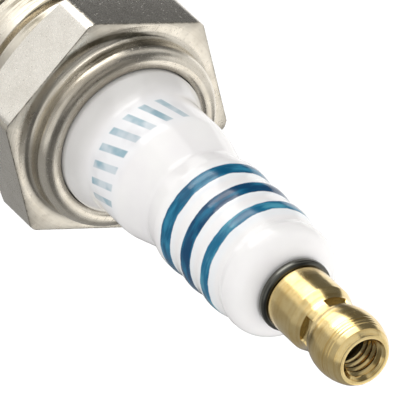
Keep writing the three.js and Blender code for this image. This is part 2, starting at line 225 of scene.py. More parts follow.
def helix_rows(teeth, pitch, low, high, limit, outside):
    """Rows of a right-hand screw thread between two heights. teeth are (share of a pitch, radius) points
    of one tooth, and limit(height) is the plain outline that the thread is cut in."""
    def row(radius, start):
        def spot(angle):
            height = min(max(start + pitch * angle / FULL_TURN, low), high)
            edge = limit(height)
            return (min(radius, edge) if outside else max(radius, edge)), height
        return spot

    rows = []
    turns = math.ceil((high - low) / pitch) + 2
    for turn in range(turns):
        rows += [row(radius, low + (turn - 1 + share) * pitch) for share, radius in teeth]
    return rows


# ---------------------------------------------------------------- places in the frame
def stand_in(piece, body, node):
    """Lets a piece ride on its body, in the place of a CAD node."""
    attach(piece, body)
    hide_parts(node)
    return piece


# ---------------------------------------------------------------- shell
# Radii and heights: the thread and the bores, then the outside from the neck up to the rolled collar.
REACH = 19.0
M14_PITCH, M14_ROOT, M14_CREST = 1.25, 6.27, 6.95
THREAD_END_RADIUS = 6.15
RUN_OUT = 0.9
FIRING_BORE, STEP_BORE, LOWER_BORE = 4.9, 4.15, 5.2
POCKET_RADIUS, POCKET_FLOOR = 8.0, 2.4
NECK_LOW, NECK_RADIUS = -2.8, 6.1
BARREL_RADIUS, BARREL_TOP = 9.9, 3.7
GROOVE_RADIUS, GROOVE_TOP = 9.2, 4.8
LAND_RADIUS, LAND_TOP = 10.25, 6.0
FLAT, CORNER = 10.3, 11.7
FACET = math.radians(60)
HEX_TOP = 11.4
HEX_EDGE = 0.07
COLLAR_FOOT, COLLAR_CORNER = 9.95, 8.87
ROLL_RADIUS, ROLL_HEIGHT, ROLL_SIZE = 7.85, 12.95, 1.15
LIP_RADIUS = 7.16


def thread_blank(height):
    """Radius of the plain blank that the M14 thread is cut in."""
    lead_in = THREAD_END_RADIUS + (height + REACH)
    run_out = NECK_RADIUS + (NECK_LOW - height) * RUN_OUT
    return min(M14_CREST, lead_in, run_out)


def off_facet(angle):
    """Angle from the middle of the hexagon's facet that an angle falls on."""
    return angle % FACET - FACET / 2


def hex_radius(angle):
    return min(FLAT / math.cos(off_facet(angle)), CORNER)


def shell_outline_low():
    """From the floor of the insulator's pocket down the bore, and out to the start of the thread."""
    return rounded([
        (POCKET_RADIUS, POCKET_FLOOR, 0), (LOWER_BORE, 0.4, 0.3), (LOWER_BORE, -11.3, 0.1),
        (STEP_BORE, -11.91, 0.1), (STEP_BORE, -13.2, 0.2), (FIRING_BORE, -15.0, 0.3),
        (FIRING_BORE, -REACH, 0.12), (THREAD_END_RADIUS, -REACH, 0),
    ])


def hexagon_rows():
    """The hexagon from its chamfered lower corners to the broken edge of its upper face."""
    bevel = HEX_EDGE * 0.3

    def chamfer(angle):
        radius = hex_radius(angle)
        return radius, LAND_TOP + (radius - FLAT) / 2

    return [
        chamfer,
        lambda angle: (hex_radius(angle), HEX_TOP - HEX_EDGE),
        lambda angle: (hex_radius(angle) - bevel, HEX_TOP - bevel),
        lambda angle: (hex_radius(angle) - HEX_EDGE, HEX_TOP),
    ]


def shell_rows_high():
    """From the neck over the barrel, hexagon and rolled collar, and back down the bore."""
    barrel = rounded([
        (NECK_RADIUS, NECK_LOW, 0), (NECK_RADIUS, 0, 0.2), (BARREL_RADIUS, 0, 0.5),
        (BARREL_RADIUS, BARREL_TOP, 0.12), (GROOVE_RADIUS, BARREL_TOP, 0.1),
        (GROOVE_RADIUS, GROOVE_TOP, 0.1), (LAND_RADIUS, GROOVE_TOP, 0.12), (LAND_RADIUS, LAND_TOP - 0.05, 0),
    ], 5)
    roll = arc(ROLL_RADIUS, ROLL_HEIGHT, ROLL_SIZE, 0, 128, 18)
    collar = rounded([(COLLAR_FOOT, HEX_TOP, 0), (COLLAR_CORNER, HEX_TOP, 0.62), roll[0] + (0,)])
    lip = rounded([
        roll[-1] + (0,), (LIP_RADIUS, 13.78, 0.08), (LIP_RADIUS, 13.2, 0.1), (7.75, 13.1, 0),
        (POCKET_RADIUS, 12.8, 0.2), (POCKET_RADIUS, POCKET_FLOOR, 0),
    ])
    return barrel + hexagon_rows() + collar + roll[1:] + lip[1:]


def make_shell():
    columns = even_columns(240)
    bm = bmesh.new()
    add_tube(bm, shell_outline_low(), columns)
    tooth = rounded_tooth(M14_ROOT, M14_CREST, 12)
    thread = helix_rows(tooth, M14_PITCH, -REACH, NECK_LOW, thread_blank, True)
    add_tube(bm, thread, columns, len(tooth))
    add_tube(bm, shell_rows_high(), columns)
    shell = finish_mesh("shell", bm)
    return stand_in(shell, "plug", "metal_shell")


# ---------------------------------------------------------------- gasket
GASKET_INNER, GASKET_OUTER = 6.75, 9.8
STRIP = 0.42
SEAT_CLEARANCE = 0.03


def make_gasket():
    """A strip folded to an open C. Its top stays just under the seat when the gasket is pushed up."""
    low, high = cad_heights("crush_gasket")
    high -= SEAT_CLEARANCE
    fold = GASKET_OUTER - STRIP * 1.6
    tongue = GASKET_INNER + 0.6
    outline = rounded([
        (GASKET_INNER, low + STRIP, 0), (GASKET_INNER, low, 0.1), (GASKET_OUTER, low, 0.75),
        (GASKET_OUTER, high, 0.75), (GASKET_INNER, high, 0.3), (GASKET_INNER, high - STRIP, 0.1),
        (tongue, high - STRIP - 0.1, 0.1), (fold, high - STRIP, 0.2), (fold, (low + high) / 2, 0.1),
        (fold, low + STRIP, 0.2), (GASKET_INNER, low + STRIP, 0),
    ], 6)
    gasket = revolve("gasket", outline[:-1], 144)
    return stand_in(gasket, "gasket", "crush_gasket")


# ---------------------------------------------------------------- insulator
# From the nose up: the shank in the shell, the throat and waist above the collar, the ribs and the head.
NOSE_END, NOSE_BORE = -20.5, 1.3
STUD_BORE = 2.0
NOSE_RADIUS, LOWER_RADIUS, FLANGE_RADIUS = 3.8, 4.95, 7.85
SHANK_RADIUS, MOUTH_RADIUS = 6.9, 7.04
THROAT_RADIUS, WAIST_RADIUS = 6.09, 5.12
CREST_RADIUS, VALLEY_RADIUS = 5.66, 5.46
CRESTS = (28.6, 31.95, 35.2)
RIB_FALL = 1.4
HEAD_RADIUS, HEAD_HEIGHT, HEAD_ROUND = 5.42, 38.8, 2.2
HEAD_TOP = 41.0


def insulator_ribs():
    """From the first crest to the last, with a short fall and a long rise between them."""
    points = []
    for low, high in zip(CRESTS, CRESTS[1:]):
        valley = (VALLEY_RADIUS, low + RIB_FALL)
        points += ease((CREST_RADIUS, low), valley, 10)[1:] + ease(valley, (CREST_RADIUS, high), 14)[1:]
    return points


def insulator_outline():
    nose = rounded([
        (NOSE_BORE, NOSE_END, 0), (2.2, NOSE_END, 0.35), (NOSE_RADIUS, -12.7, 0.8),
        (NOSE_RADIUS, -11.65, 0.15), (LOWER_RADIUS, -10.99, 0.15), (LOWER_RADIUS, 0.3, 0.3),
        (FLANGE_RADIUS, 2.6, 0.4), (FLANGE_RADIUS, 6.4, 0.4), (SHANK_RADIUS, 7.4, 0.3),
        (SHANK_RADIUS, 12.9, 0.1), (MOUTH_RADIUS, 13.1, 0.1), (MOUTH_RADIUS, 14.3, 0.6), (6.75, 14.9, 1.5),
        (THROAT_RADIUS, 16.2, 2.5), (THROAT_RADIUS, 17, 0),
    ], 8)
    waist = rounded([
        (THROAT_RADIUS, 17.2, 0), (THROAT_RADIUS, 21.2, 5.0), (WAIST_RADIUS, 25.2, 1.5),
        (CREST_RADIUS, 27.5, 3.5), (CREST_RADIUS, CRESTS[0], 0),
    ], 14)
    head = rounded([
        (CREST_RADIUS, CRESTS[-1], 0), (5.62, 35.95, 2.5), (5.2, 37.5, 0.6), (5.45, 38.35, 1.0),
        (HEAD_RADIUS, HEAD_HEIGHT, 0),
    ], 10)
    top = arc(HEAD_RADIUS - HEAD_ROUND, HEAD_HEIGHT, HEAD_ROUND, 0, 84, 16)
    bore = rounded([
        (3.1, HEAD_TOP, 0), (STUD_BORE, HEAD_TOP, 0.1), (STUD_BORE, -4.0, 0.1), (NOSE_BORE, -4.6, 0.1),
        (NOSE_BORE, NOSE_END, 0.1), (NOSE_BORE + 0.1, NOSE_END, 0),
    ])
    return nose + waist + insulator_ribs() + head[1:-1] + top + bore[:-1]


def make_insulator():
    insulator = revolve("insulator_body", insulator_outline(), 192, math.radians(50))
    return stand_in(insulator, "plug", "insulator")


# ---------------------------------------------------------------- terminal stud
M4_PITCH = 0.7
STUD_ROOT, STUD_CREST = 1.55, 1.97
STUD_CORE = 1.5
STUD_TOP = 50.4
TAIL_RADIUS, TAIL_TOP = 1.45, 14.15
STUD_RADIUS = 1.85
STUD_FLANGE, FLANGE_LOW, FLANGE_TOP = 3.5, 41.05, 42.05


def stud_blank(height):
    """Radius of the rod that the stud's M4 thread is cut in, chamfered at both ends."""
    return min(STUD_CREST, STUD_CORE + (height - FLANGE_TOP), STUD_CORE + (STUD_TOP - height))


def make_stud():
    columns = even_columns(96)
    low, _ = cad_heights("terminal_stud")
    shank = rounded([
        (0, low, 0), (TAIL_RADIUS, low, 0.1), (TAIL_RADIUS, TAIL_TOP, 0.1),
        (STUD_RADIUS, TAIL_TOP + 0.4, 0.2), (STUD_RADIUS, FLANGE_LOW, 0.05), (STUD_FLANGE, FLANGE_LOW, 0.45),
        (STUD_FLANGE, FLANGE_TOP, 0.35), (STUD_CORE, FLANGE_TOP, 0),
    ], 6)
    bm = bmesh.new()
    add_tube(bm, shank, columns)
    tooth = rounded_tooth(STUD_ROOT, STUD_CREST, 10)
    thread = helix_rows(tooth, M4_PITCH, FLANGE_TOP, STUD_TOP, stud_blank, True)
    add_tube(bm, thread, columns, len(tooth))
    add_tube(bm, [(STUD_CORE, STUD_TOP), (0, STUD_TOP)], columns)
    return stand_in(finish_mesh("stud", bm), "plug", "terminal_stud")


# ---------------------------------------------------------------- terminal nut
# The waist is an arc hollowed into the nut, and the bulge over it is an arc of its own, with fine tool
# cuts above CUTS_LOW. The slots are pressed into the waist.
NUT_ROOT, NUT_CREST, NUT_MOUTH = 2.0, 1.65, 2.02
MOUTH_DEPTH = 0.1
MOUTH_SLOPE = 0.9
BODY_RADIUS, BODY_TOP = 3.17, 45.75
HOLLOW_RADIUS, HOLLOW_HEIGHT, HOLLOW_SIZE = 2.77, 47.4, 3.2
HOLLOW_START = (2.963, 46.306)
BULGE_RADIUS, BULGE_HEIGHT, BULGE_SIZE = 3.25, 50.25, 5.5
CUTS_LOW, CUT_PITCH, CUT_DEPTH = 50.8, 0.3, 0.022
SLOTS = 4
SLOT_TURN, SLOT_SPREAD = math.radians(32), math.radians(24)
SLOT_FLOOR = 2.4
SLOT_LOW, SLOT_HIGH = 46.95, 48.1


def slotted(radius, height):
    """A row of the nut's waist with its four flat-floored slots pressed in."""
    def row(angle):
        step = FULL_TURN / SLOTS
        off = (angle - SLOT_TURN + step / 2) % step - step / 2
        if abs(off) > SLOT_SPREAD:
            return radius, height
        return min(radius, SLOT_FLOOR / math.cos(off)), height
    return row


def waist_rows(hollow):
    """The nut's waist, slotted between the slots' two walls."""
    rows = []
    for (radius, height), (_, after) in zip(hollow, hollow[1:] + hollow[-1:]):
        inside = SLOT_LOW < height < SLOT_HIGH
        rows.append(slotted(radius, height) if inside else (radius, height))
        if height <= SLOT_LOW < after:
            rows += [(radius, SLOT_LOW), slotted(radius, SLOT_LOW)]
        if height <= SLOT_HIGH < after:
            rows += [slotted(radius, SLOT_HIGH), (radius, SLOT_HIGH)]
    return rows


def nut_rows():
    """From the lower face over the waist and the bulge, with fine tool cuts near its end, to the face."""
    low, high = cad_heights("terminal_nut")
    body = rounded([
        (NUT_MOUTH, low, 0), (BODY_RADIUS, low, 0.18), (BODY_RADIUS, BODY_TOP, 0.6), (*HOLLOW_START, 0),
    ], 6)
    bulge_centre = (BULGE_RADIUS - BULGE_SIZE, BULGE_HEIGHT)
    hollow_centre = (HOLLOW_RADIUS + HOLLOW_SIZE, HOLLOW_HEIGHT)
    meeting = math.degrees(math.asin((BULGE_HEIGHT - HOLLOW_HEIGHT) / (BULGE_SIZE + HOLLOW_SIZE)))
    hollow = arc(*hollow_centre, HOLLOW_SIZE, 180 + 20, 180 - meeting, 40)
    end = math.degrees(math.asin((CUTS_LOW - BULGE_HEIGHT) / BULGE_SIZE))
    bulge = arc(*bulge_centre, BULGE_SIZE, -meeting, end, 26)
    cuts = []
    for radius, height in arc(*bulge_centre, BULGE_SIZE, end + 0.3, 18.5, 32):
        depth = CUT_DEPTH / 2 * (1 - math.cos(FULL_TURN * (height - CUTS_LOW) / CUT_PITCH))
        cuts.append((radius - depth, height))
    face = rounded([
        cuts[-1] + (0,), (2.82, 52.42, 0.06), (2.45, high, 0.08), (2.1, high, 0.04),
        (NUT_MOUTH, high - MOUTH_DEPTH, 0),
    ])
    return body + waist_rows(hollow) + bulge[1:] + cuts + face[1:]


def make_nut():
    columns = even_columns(144)
    low, high = cad_heights("terminal_nut")
    mouth = high - MOUTH_DEPTH

    def bore(height):
        return max(NUT_CREST, NUT_MOUTH - min(height - low, mouth - height) * MOUTH_SLOPE)

    tooth = rounded_tooth(NUT_CREST, NUT_ROOT, 10)
    bm = bmesh.new()
    add_tube(bm, nut_rows(), columns)
    add_tube(bm, helix_rows(tooth, M4_PITCH, low, mouth, bore, False), columns, len(tooth))
    return stand_in(finish_mesh("nut", bm, math.radians(30)), "nut", "terminal_nut")


# ---------------------------------------------------------------- firing end
STRAP_THICKNESS, STRAP_WIDTH, STRAP_TIP_WIDTH = 1.3, 2.6, 1.4
STRAP_BEND = 1.3
STRAP_TAPER = 2.4
STRAP_ROUND = 0.18
BEND_STEPS = 12


def strap_path():
    """Pairs of points, (x, z), on the strap's inner and outer side, from its weld to its free end."""
    low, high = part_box("ground_electrode")
    outer, end = high.x / MM, low.x / MM
    inner = outer - STRAP_THICKNESS
    root, lower = high.z / MM, low.z / MM
    upper = lower + STRAP_THICKNESS
    centre_x, centre_z = inner - STRAP_BEND, upper + STRAP_BEND
    path = [((inner, root), (outer, root))]
    for i in range(BEND_STEPS + 1):
        angle = -math.radians(90) * i / BEND_STEPS
        pair = []
        for size in (STRAP_BEND, STRAP_BEND + STRAP_THICKNESS):
            pair.append((centre_x + size * math.cos(angle), centre_z + size * math.sin(angle)))
        path.append(pair)
    path.append(((STRAP_TAPER, upper), (STRAP_TAPER, lower)))
    path.append(((end, upper), (end, lower)))
    return path


def make_ground_electrode():
    path = strap_path()
    end = path[-1][0][0]
    bm = bmesh.new()
    rings = []
    for (ax, az), (bx, bz) in path:
        share = min(max((STRAP_TAPER - ax) / (STRAP_TAPER - end), 0), 1)
        half = (STRAP_WIDTH + (STRAP_TIP_WIDTH - STRAP_WIDTH) * share) / 2
        corners = [(ax, -half, az), (ax, half, az), (bx, half, bz), (bx, -half, bz)]
        rings.append([bm.verts.new(Vector(corner) * MM) for corner in corners])
    for a, b in zip(rings, rings[1:]):
        for i in range(4):
            bm.faces.new((a[i], a[(i + 1) % 4], b[(i + 1) % 4], b[i]))
    bm.faces.new(rings[0])
    bm.faces.new(rings[-1][::-1])
    long_edges = [e for e in bm.edges if not any(set(e.verts) <= set(r) for r in rings[1:-1])]
    bmesh.ops.bevel(bm, geom=long_edges, offset=STRAP_ROUND * MM, segments=3, affect="EDGES", profile=0.5)
    strap = finish_mesh("ground_strap", bm)
    return stand_in(strap, "plug", "ground_electrode")


CUP_RADIUS, CUP_TOP = 1.2, -2.5
CUP_COLLAR = 1.85
CORE_RADIUS, CORE_LOW = 0.75, -19.55
TIP_SEAT, TIP_RADIUS = -20.75, 0.2
TIP_BORE = TIP_RADIUS + 0.05
BEAD_SIZE = 0.2


def make_centre_electrode():
    """The electrode's cup, hollow from above for its core, with a bore at its end for the wire."""
    outside = rounded([
        (TIP_BORE, TIP_SEAT, 0), (TIP_BORE, -21.2, 0.02), (0.5, -21.2, 0.08), (CUP_RADIUS, -20.75, 0.1),
        (CUP_RADIUS, -4.6, 0.05), (CUP_COLLAR, -4.0, 0.05), (CUP_COLLAR, -3.8, 0.05),
        (CUP_RADIUS, -3.8, 0.05), (CUP_RADIUS, CUP_TOP, 0.1), (CORE_RADIUS, CUP_TOP, 0),
    ])
    hollow = rounded([(CORE_RADIUS, CUP_TOP, 0), (CORE_RADIUS, CORE_LOW, 0.05), (0, CORE_LOW, 0)])
    electrode = revolve("centre_electrode_body", [(0, TIP_SEAT)] + outside + hollow[1:], 64)
    return stand_in(electrode, "plug", "centre_electrode")


def make_tip():
    low, high = cad_heights("iridium_tip")
    outline = rounded([(0, low, 0), (TIP_RADIUS, low, 0.02), (TIP_RADIUS, high, 0.02), (0, high, 0)])
    return stand_in(revolve("tip_wire", outline, 48), "plug", "iridium_tip")


def make_bead():
    low, high = cad_heights("tip_weld_bead")
    outline = [(TIP_BORE, high), (TIP_BORE, low)] + arc(TIP_BORE, high, BEAD_SIZE, -90, 0, 8)
    return stand_in(revolve("weld_bead", outline, 48), "plug", "tip_weld_bead")


# ---------------------------------------------------------------- material helpers
def put(tree, socket, value):
    if isinstance(value, bpy.types.NodeSocket):
        tree.links.new(value, socket)
    else:
        socket.default_value = value


def calculate(tree, operation, a, b=0.0, clamp=False):
    node = tree.nodes.new("ShaderNodeMath")
    node.operation = operation
    node.use_clamp = clamp
    put(tree, node.inputs[0], a)
    put(tree, node.inputs[1], b)
    return node.outputs[0]


def times(tree, value, *factors):
    for factor in factors:
        value = calculate(tree, "MULTIPLY", value, factor)
    return value


def between(tree, value, low, high, to_low=0.0, to_high=1.0):
    """Smooth step of a value from low to high, onto another range."""
    node = tree.nodes.new("ShaderNodeMapRange")
    node.interpolation_type = "SMOOTHSTEP"
    for socket, number in zip(node.inputs, (value, low, high, to_low, to_high)):
        put(tree, socket, number)
    return node.outputs[0]


def band(tree, value, middle, width, softness):
    """One inside a band of values, nothing outside it."""
    off = calculate(tree, "ABSOLUTE", calculate(tree, "SUBTRACT", value, middle))
    return between(tree, off, width / 2 - softness, width / 2 + softness, 1.0, 0.0)


def blend_colours(tree, share, first, second):
    node = tree.nodes.new("ShaderNodeMix")
    node.data_type = "RGBA"
    put(tree, node.inputs["Factor"], share)
    for socket, colour in ((node.inputs["A"], first), (node.inputs["B"], second)):
        put(tree, socket, colour if isinstance(colour, bpy.types.NodeSocket) else (*colour, 1))
    return node.outputs["Result"]


def noise(tree, vector, scale, detail=3.0, roughness=0.5):
    node = tree.nodes.new("ShaderNodeTexNoise")
    put(tree, node.inputs["Vector"], vector)
    node.inputs["Scale"].default_value = scale
    node.inputs["Detail"].default_value = detail
    node.inputs["Roughness"].default_value = roughness
    return node.outputs["Fac"]


def cell_distance(tree, vector, scale):
    """Distance to the nearest of some scattered points."""
    node = tree.nodes.new("ShaderNodeTexVoronoi")
    put(tree, node.inputs["Vector"], vector)
    node.inputs["Scale"].default_value = scale
    return node.outputs["Distance"]


def bump(tree, height, depth, normal=None):
    """Tilts the surface by a height of 0 to 1 that stands for a depth in millimetres."""
    node = tree.nodes.new("ShaderNodeBump")
    node.inputs["Distance"].default_value = depth * MM
    put(tree, node.inputs["Height"], height)
    if normal is not None:
        put(tree, node.inputs["Normal"], normal)
    return node.outputs[0]


def vector_math(tree, operation, vector, other):
    node = tree.nodes.new("ShaderNodeVectorMath")
    node.operation = operation
    put(tree, node.inputs[0], vector)
    node.inputs[1].default_value = other
    return node


def scaled(tree, vector, factors):
    return vector_math(tree, "MULTIPLY", vector, factors).outputs["Vector"]


def position(tree):
    """Place on the piece in millimetres: the vector, its radius, angle and height."""
    place = scaled(tree, tree.nodes.new("ShaderNodeTexCoord").outputs["Object"], (1 / MM,) * 3)
    split = tree.nodes.new("ShaderNodeSeparateXYZ")
    put(tree, split.inputs[0], place)
    x, y, z = split.outputs
    square = calculate(tree, "ADD", times(tree, x, x), times(tree, y, y))
    return place, calculate(tree, "SQRT", square), calculate(tree, "ARCTAN2", y, x), z


def turned_vector(tree, radius, height):
    """A place that is the same all round the axis, so that a noise of it makes turning lines."""
    node = tree.nodes.new("ShaderNodeCombineXYZ")
    put(tree, node.inputs["X"], radius)
    put(tree, node.inputs["Y"], height)
    return node.outputs[0]


def new_material(name, metallic):
    material = bpy.data.materials.new(name)
    material.use_nodes = True
    tree = material.node_tree
    shader = tree.nodes["Principled BSDF"]
    shader.inputs["Metallic"].default_value = metallic
    return material, tree, shader


def finish_with(piece, *materials):
    piece.data.materials.clear()
    for material in materials:
        piece.data.materials.append(material)


# ---------------------------------------------------------------- metals
# Colours come in pairs, clean and stained, and gloss in pairs of roughness, bright and dull.
NICKEL, NICKEL_GLOSS = ((0.76, 0.715, 0.625), (0.62, 0.57, 0.48)), (0.2, 0.34)
FLATS, FLATS_GLOSS = ((0.78, 0.75, 0.69), (0.7, 0.67, 0.61)), (0.22, 0.36)
STRIP_STEEL, STRIP_GLOSS = ((0.7, 0.67, 0.6), (0.5, 0.47, 0.42)), (0.25, 0.45)
BRASS, BRASS_GLOSS = ((0.82, 0.652, 0.325), (0.67, 0.465, 0.165)), (0.13, 0.22)
DARK_PLATING, PLATING_GLOSS = ((0.13, 0.13, 0.115), (0.085, 0.085, 0.075)), (0.16, 0.26)
ALLOY, ALLOY_GLOSS = ((0.5, 0.47, 0.43), (0.36, 0.33, 0.29)), (0.3, 0.5)
WELD, WELD_GLOSS = ((0.55, 0.5, 0.44), (0.3, 0.24, 0.2)), (0.2, 0.4)
IRIDIUM, IRIDIUM_GLOSS = ((0.82, 0.83, 0.84), (0.7, 0.7, 0.7)), (0.15, 0.3)
BARE_STEEL, STEEL_GLOSS = ((0.45, 0.44, 0.42), (0.3, 0.28, 0.26)), (0.3, 0.5)
COPPER, COPPER_GLOSS = ((0.8, 0.42, 0.26), (0.55, 0.26, 0.16)), (0.25, 0.45)
# Painted shade colours: the first darkens the corner at the collar's foot, the second dims one side of the
# rolled collar.
CREASE_SHADE = (0.13, 0.115, 0.08)
ROLL_SHADE = (0.3, 0.26, 0.2)
NICK = (0.12, 0.11, 0.09)
PIT = (0.3, 0.28, 0.25)

# Painted shade and a painted dark reflection outside the rolled collar: a crescent about a centre off the
# axis, and a thin line of painted shade in the crease along the foot.
CRESCENT_CENTRE = (0.6, -1.3, 0)
CRESCENT_RADIUS, CRESCENT_WIDTH = 9.02, 0.6
CRESCENT_ANGLE, CRESCENT_SPREAD = math.radians(-127), math.radians(60)
FOOT_RADIUS, FOOT_WIDTH = 9.14, 0.26
# Painted shade on one side of the rolled collar, which dims its highlight there.
ROLL_SHADE_ANGLE, ROLL_SHADE_SPREAD = math.radians(-104), math.radians(62)


def turned_metal(name, colours, gloss, line_depth, line_scale=9.0):
    """Machined metal: fine and coarse turning lines, a patchy satin, faint stains and scratches."""
    material, tree, shader = new_material(name, 1)
    place, radius, _, height = position(tree)
    turned = turned_vector(tree, radius, height)
    lines = noise(tree, turned, line_scale, detail=4, roughness=0.7)
    coarse = noise(tree, turned, line_scale / 3, detail=2)

    stain = between(tree, noise(tree, place, 0.5, detail=4, roughness=0.6), 0.35, 0.7)
    tone = times(tree, stain, between(tree, lines, 0.3, 0.8, 0.4, 1.0))
    tone = calculate(tree, "ADD", tone, between(tree, coarse, 0.5, 0.7, 0.0, 0.6), clamp=True)
    put(tree, shader.inputs["Base Color"], blend_colours(tree, tone, *colours))

    streaks = noise(tree, scaled(tree, place, (0.35, 0.35, 2.5)), 1.0, detail=4, roughness=0.6)
    put(tree, shader.inputs["Roughness"], between(tree, streaks, 0.3, 0.7, *gloss))

    scratches = noise(tree, scaled(tree, place, (1.0, 6.0, 1.4)), 2.2, detail=2, roughness=0.4)
    marks = bump(tree, between(tree, scratches, 0.66, 0.74), line_depth)
    wide = bump(tree, coarse, line_depth * 2, marks)
    put(tree, shader.inputs["Normal"], bump(tree, lines, line_depth, wide))
    return material


def hexagon_distance(tree, place):
    """Distance from the axis towards the nearest pair of flats."""
    distance = 0.0
    for turn in (30, 90, 150):
        towards = (math.cos(math.radians(turn)), math.sin(math.radians(turn)), 0)
        along = vector_math(tree, "DOT_PRODUCT", place, towards).outputs["Value"]
        distance = calculate(tree, "MAXIMUM", distance, calculate(tree, "ABSOLUTE", along))
    return distance


def collar_shade_share(tree, place, radius, angle, height, patchy):
    """Share of painted shade and painted dark reflection in the corner between the hexagon's face and the
    rolled collar.
    """
    aside = vector_math(tree, "DISTANCE", scaled(tree, place, (1, 1, 0)), CRESCENT_CENTRE).outputs["Value"]
    crescent = band(tree, aside, CRESCENT_RADIUS, CRESCENT_WIDTH, 0.12)
    crescent = times(tree, crescent, band(tree, angle, CRESCENT_ANGLE, CRESCENT_SPREAD, 0.2))
    foot = times(tree, band(tree, radius, FOOT_RADIUS, FOOT_WIDTH, 0.07), 0.3)
    dark_share = calculate(tree, "MAXIMUM", crescent, foot)
    low_down = between(tree, height, 13.5, 12.9)
    return times(tree, dark_share, low_down, between(tree, patchy, 0.35, 0.62, 0.45, 0.95))


def turned_nickel():
    """The shell's turned faces, with painted shade in the corner at the rolled collar and on one side of its
    roll, and nicked along the hexagon.
    """
    material = turned_metal("turned_nickel", NICKEL, NICKEL_GLOSS, 0.006)
    tree = material.node_tree
    shader = tree.nodes["Principled BSDF"]
    colour = shader.inputs["Base Color"].links[0].from_socket
    place, radius, angle, height = position(tree)
    patchy = noise(tree, scaled(tree, place, (0.25, 0.25, 3.0)), 1.0, detail=3, roughness=0.6)

    # Painted shade: a brown darkening over one side of the rolled collar that dims its highlight there.
    roll_shade_share = times(tree, band(tree, angle, ROLL_SHADE_ANGLE, ROLL_SHADE_SPREAD, 0.35),
                      between(tree, height, 12.0, 12.6), between(tree, patchy, 0.3, 0.6, 0.4, 0.7))
    colour = blend_colours(tree, roll_shade_share, colour, ROLL_SHADE)
    # Painted shade and painted dark reflection in the corner at the collar's foot.
    colour = blend_colours(tree, collar_shade_share(tree, place, radius, angle, height, patchy), colour, CREASE_SHADE)

    edge = times(tree, band(tree, hexagon_distance(tree, place), FLAT - 0.05, 0.1, 0.04),
                 between(tree, height, HEX_TOP - 0.2, HEX_TOP - 0.05))
    chipped = between(tree, noise(tree, place, 1.1, detail=5, roughness=0.75), 0.42, 0.62, 0.1, 0.75)
    colour = blend_colours(tree, times(tree, edge, chipped), colour, NICK)
    put(tree, shader.inputs["Base Color"], colour)
    return material


def formed_nickel():
    """The hexagon's cold-formed flats: grainy, with small pits."""
    material, tree, shader = new_material("formed_nickel", 1)
    place, _, _, _ = position(tree)
    grain = noise(tree, place, 5.0, detail=5, roughness=0.75)
    pitted = between(tree, cell_distance(tree, place, 2.6), 0.05, 0.14, 1.0, 0.0)
    cloud = between(tree, noise(tree, place, 0.7, detail=3, roughness=0.6), 0.3, 0.75)
    colour = blend_colours(tree, cloud, *FLATS)
    colour = blend_colours(tree, times(tree, pitted, 0.35), colour, PIT)
    put(tree, shader.inputs["Base Color"], colour)
    put(tree, shader.inputs["Roughness"], between(tree, grain, 0.3, 0.75, *FLATS_GLOSS))
    dents = bump(tree, pitted, -0.02)
    put(tree, shader.inputs["Normal"], bump(tree, grain, 0.009, dents))
    return material


def drawn_metal(name, colours, gloss, stretch):
    """Bare metal with marks stretched along one way and a darker oxide in patches."""
    material, tree, shader = new_material(name, 1)
    place, _, _, _ = position(tree)
    marks = noise(tree, scaled(tree, place, stretch), 6.0, detail=4, roughness=0.6)
    oxide = between(tree, noise(tree, place, 1.3, detail=4, roughness=0.6), 0.42, 0.68)
    put(tree, shader.inputs["Base Color"], blend_colours(tree, oxide, *colours))
    put(tree, shader.inputs["Roughness"], between(tree, marks, 0.3, 0.7, *gloss))
    put(tree, shader.inputs["Normal"], bump(tree, marks, 0.006))
    return material


# ---------------------------------------------------------------- ceramics
GLAZE, GLAZE_CLOUD = (0.84, 0.832, 0.825), (0.80, 0.785, 0.79)
# Tone of the painted shade on the neck near the collar.
NECK_SHADE_TONE = (0.52, 0.51, 0.49)
BLEED = (0.7, 0.82, 0.9)
PRINT_GLAZE = (0.84, 0.87, 0.92)
SMUDGE = (0.42, 0.4, 0.42)
INK, INK_PALE = (0.02, 0.2, 0.32), (0.16, 0.36, 0.42)
SPECK = (0.1, 0.1, 0.1)
COPPER_GLASS = (0.32, 0.27, 0.23), (0.16, 0.12, 0.1)
CARBON = (0.05, 0.05, 0.055), (0.02, 0.02, 0.02)
TALC = (0.82, 0.79, 0.73), (0.7, 0.67, 0.62)
FLOOR_TONES = (0.93, 0.93, 0.93), (0.9, 0.9, 0.9)

# Each blue ring: middle height, width, its deep colour and its pale one.
RINGS = (
    (29.05, 1.32, (0.0, 0.08, 0.17), (0.02, 0.2, 0.33)),
    (32.42, 1.34, (0.0, 0.047, 0.12), (0.005, 0.14, 0.26)),
    (35.65, 1.12, (0.005, 0.12, 0.23), (0.06, 0.29, 0.4)),
)
# Heights over which painted shade greys the neck towards the collar.
NECK_SHADE_LOW, NECK_SHADE_HIGH = 15.0, 17.0
PRINT_LOW, PRINT_HIGH = 17.4, 20.7
PRINT_ANGLE = math.radians(-86.6)
PRINT_PITCH = math.radians(16)
PRINT_BARS = 8
PRINT_SLANT = 0.05
BAR_SHARE = 0.42


def print_masks(tree, place, angle, height):
    """Ink of the row of plain slanted bars, and the paler patch of glaze that it stands in."""
    middle, tall = (PRINT_LOW + PRINT_HIGH) / 2, PRINT_HIGH - PRINT_LOW
    wide = PRINT_BARS * PRINT_PITCH
    rise = times(tree, calculate(tree, "SUBTRACT", height, middle), PRINT_SLANT)
    off = calculate(tree, "SUBTRACT", angle, PRINT_ANGLE)
    slanted = calculate(tree, "ADD", off, rise)
    within = calculate(tree, "FRACT", calculate(tree, "DIVIDE", slanted, PRINT_PITCH))
    row = times(tree, band(tree, height, middle, tall, 0.1), band(tree, slanted, 0.0, wide, 0.01))
    faded = between(tree, noise(tree, place, 0.5, detail=2), 0.35, 0.65, 0.45, 1.0)
    ink = times(tree, band(tree, within, 0.5, BAR_SHARE, 0.04), row, faded)
    patch = times(tree, band(tree, height, middle, tall + 1, 0.8), band(tree, off, 0.0, wide, 0.2))
    return ink, patch


